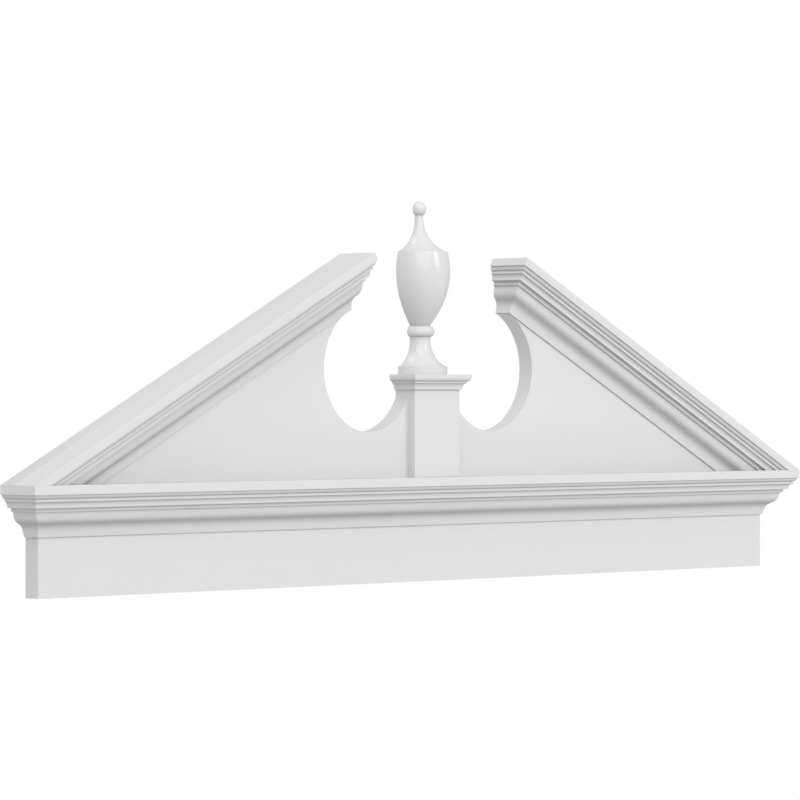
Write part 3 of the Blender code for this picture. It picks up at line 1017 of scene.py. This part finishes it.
class PEDIMENT_OT_studio(bpy.types.Operator):
    """Set up the floor, the soft lights and the camera"""

    bl_idname = "pediment.studio"
    bl_label = "Studio"

    def execute(self, context):
        studio = context.scene.pediment_studio
        lay_floor(studio)
        light_studio(studio, context.scene)
        place_camera(studio, context.scene)
        return {"FINISHED"}


def lay_floor(studio):
    """A plain pale disc, at the height of the ground under a door, that is white by its rim."""
    mesh = bpy.data.meshes.new("Studio_floor")
    turn = np.linspace(0, 2 * math.pi, TURN_STEPS, endpoint=False)
    rim = np.column_stack((studio.floor_radius * np.cos(turn),
                           studio.floor_radius * np.sin(turn),
                           np.full(TURN_STEPS, -studio.floor_drop)))
    mesh.from_pydata(rim, [], [list(range(TURN_STEPS))])
    floor = bpy.data.objects.new("Studio_floor", mesh)
    bpy.context.scene.collection.objects.link(floor)
    material = bpy.data.materials.new("studio_floor")
    material.use_nodes = True
    tree = material.node_tree
    shader = tree.nodes["Principled BSDF"]
    place = tree.nodes.new("ShaderNodeTexCoord").outputs["Object"]
    flat_place = node(tree, "ShaderNodeVectorMath", {0: place, 1: Vector((1, 1, 0))},
                      operation="MULTIPLY").outputs["Vector"]
    reach = node(tree, "ShaderNodeVectorMath", {0: flat_place},
                 operation="LENGTH").outputs["Value"]
    fade = [share * studio.floor_radius for share in FLOOR_FADE]
    whiter = carried(tree, reach, fade, (0.0, 1.0), interpolation_type="SMOOTHSTEP")
    colour = mixed_colour(tree, whiter, (*studio.floor_grey, 1.0), FLOOR_RIM_WHITE)
    tree.links.new(colour, shader.inputs["Base Color"])
    shader.inputs["Roughness"].default_value = FLOOR_ROUGHNESS
    mesh.materials.append(material)


def towards(azimuth, elevation):
    """The direction to a light, (sin a cos e, -cos a cos e, sin e)."""
    return Vector((math.sin(azimuth) * math.cos(elevation),
                   -math.cos(azimuth) * math.cos(elevation), math.sin(elevation)))


def hang(light, direction, place, scene):
    """Put a light in the scene, shining against a direction."""
    lamp = bpy.data.objects.new(light.name, light)
    lamp.location = place
    lamp.rotation_euler = direction.to_track_quat("Z", "Y").to_euler()
    scene.collection.objects.link(lamp)


def light_studio(studio, scene):
    """An even surround that looks white, two wide, soft lights and a tall soft box."""
    scene.view_settings.view_transform = "Standard"
    world = bpy.data.worlds.new("White_studio")
    world.use_nodes = True
    tree = world.node_tree
    surround = tree.nodes["Background"]
    surround.inputs["Color"].default_value = (1, 1, 1, 1)
    seen = tree.nodes.new("ShaderNodeLightPath").outputs["Is Camera Ray"]
    tree.links.new(mixed(tree, seen, studio.ambient, 1.0), surround.inputs["Strength"])
    scene.world = world
    for name, azimuth, elevation, power, softness in (
            ("Key", KEY_AZIMUTH, KEY_ELEVATION, studio.key, studio.key_softness),
            ("Top", TOP_AZIMUTH, TOP_ELEVATION, studio.top, studio.top_softness)):
        light = bpy.data.lights.new(name, "SUN")
        light.energy = power
        light.angle = softness
        hang(light, towards(azimuth, elevation), Vector(), scene)
    box = bpy.data.lights.new("Soft_box", "AREA")
    box.shape = "RECTANGLE"
    box.size = studio.box_width
    box.size_y = studio.box_height
    box.energy = studio.box
    direction = towards(BOX_AZIMUTH, BOX_ELEVATION)
    hang(box, direction, (FINIAL_LOW + FINIAL_HIGH) / 2 + studio.box_distance * direction, scene)


def place_camera(studio, scene):
    """A long lens from the front left, level and a little above the cornice."""
    camera = bpy.data.cameras.new("Camera")
    camera.sensor_width = SENSOR_WIDTH
    camera.lens = studio.focal_length
    camera.shift_y = CAMERA_SHIFT
    camera.clip_end = FARTHEST_SEEN
    stand = bpy.data.objects.new("Camera", camera)
    turn = studio.camera_azimuth
    stand.location = (studio.camera_distance * math.sin(turn),
                      -studio.camera_distance * math.cos(turn), studio.camera_height)
    stand.rotation_euler = (math.pi / 2, 0, studio.camera_turn)
    scene.collection.objects.link(stand)
    scene.camera = stand


class PEDIMENT_PT_maker(bpy.types.Panel):
    """Sizes and buttons for each piece"""

    bl_idname = "PEDIMENT_PT_maker"
    bl_label = "PVC Pediment"
    bl_space_type = "VIEW_3D"
    bl_region_type = "UI"
    bl_category = "Pediment"

    def draw(self, context):
        for operator in OPERATORS:
            self.layout.operator(operator.bl_idname)
        for group_name in SETTINGS:
            column = self.layout.column(heading=group_name.replace("pediment_", "").title())
            settings = getattr(context.scene, group_name)
            for setting in settings.__annotations__:
                column.prop(settings, setting)


SETTINGS = {
    "pediment_crown": PedimentCrownSizes,
    "pediment_cap": PedimentCapSizes,
    "pediment_board": PedimentBoardSizes,
    "pediment_finial": PedimentFinialSizes,
    "pediment_finish": PedimentFinish,
    "pediment_studio": PedimentStudio,
}
OPERATORS = (
    PEDIMENT_OT_backboard,
    PEDIMENT_OT_cornice_crown,
    PEDIMENT_OT_rake_crowns,
    PEDIMENT_OT_pedestal,
    PEDIMENT_OT_pedestal_cap,
    PEDIMENT_OT_finial,
    PEDIMENT_OT_studio,
)
CLASSES = (*SETTINGS.values(), *OPERATORS, PEDIMENT_PT_maker)


def register():
    """Register the classes and hang the settings on the scene."""
    for kind in CLASSES:
        bpy.utils.register_class(kind)
    for group_name, kind in SETTINGS.items():
        setattr(bpy.types.Scene, group_name, PointerProperty(type=kind))


def unregister():
    """Take the settings and the classes away again."""
    for group_name in SETTINGS:
        delattr(bpy.types.Scene, group_name)
    for kind in reversed(CLASSES):
        bpy.utils.unregister_class(kind)


def main():
    """Build every piece and the studio."""
    register()
    bpy.ops.pediment.backboard()
    bpy.ops.pediment.cornice_crown()
    bpy.ops.pediment.rake_crowns()
    bpy.ops.pediment.pedestal()
    bpy.ops.pediment.pedestal_cap()
    bpy.ops.pediment.finial()
    bpy.ops.pediment.studio()


if __name__ == "__main__":
    main()
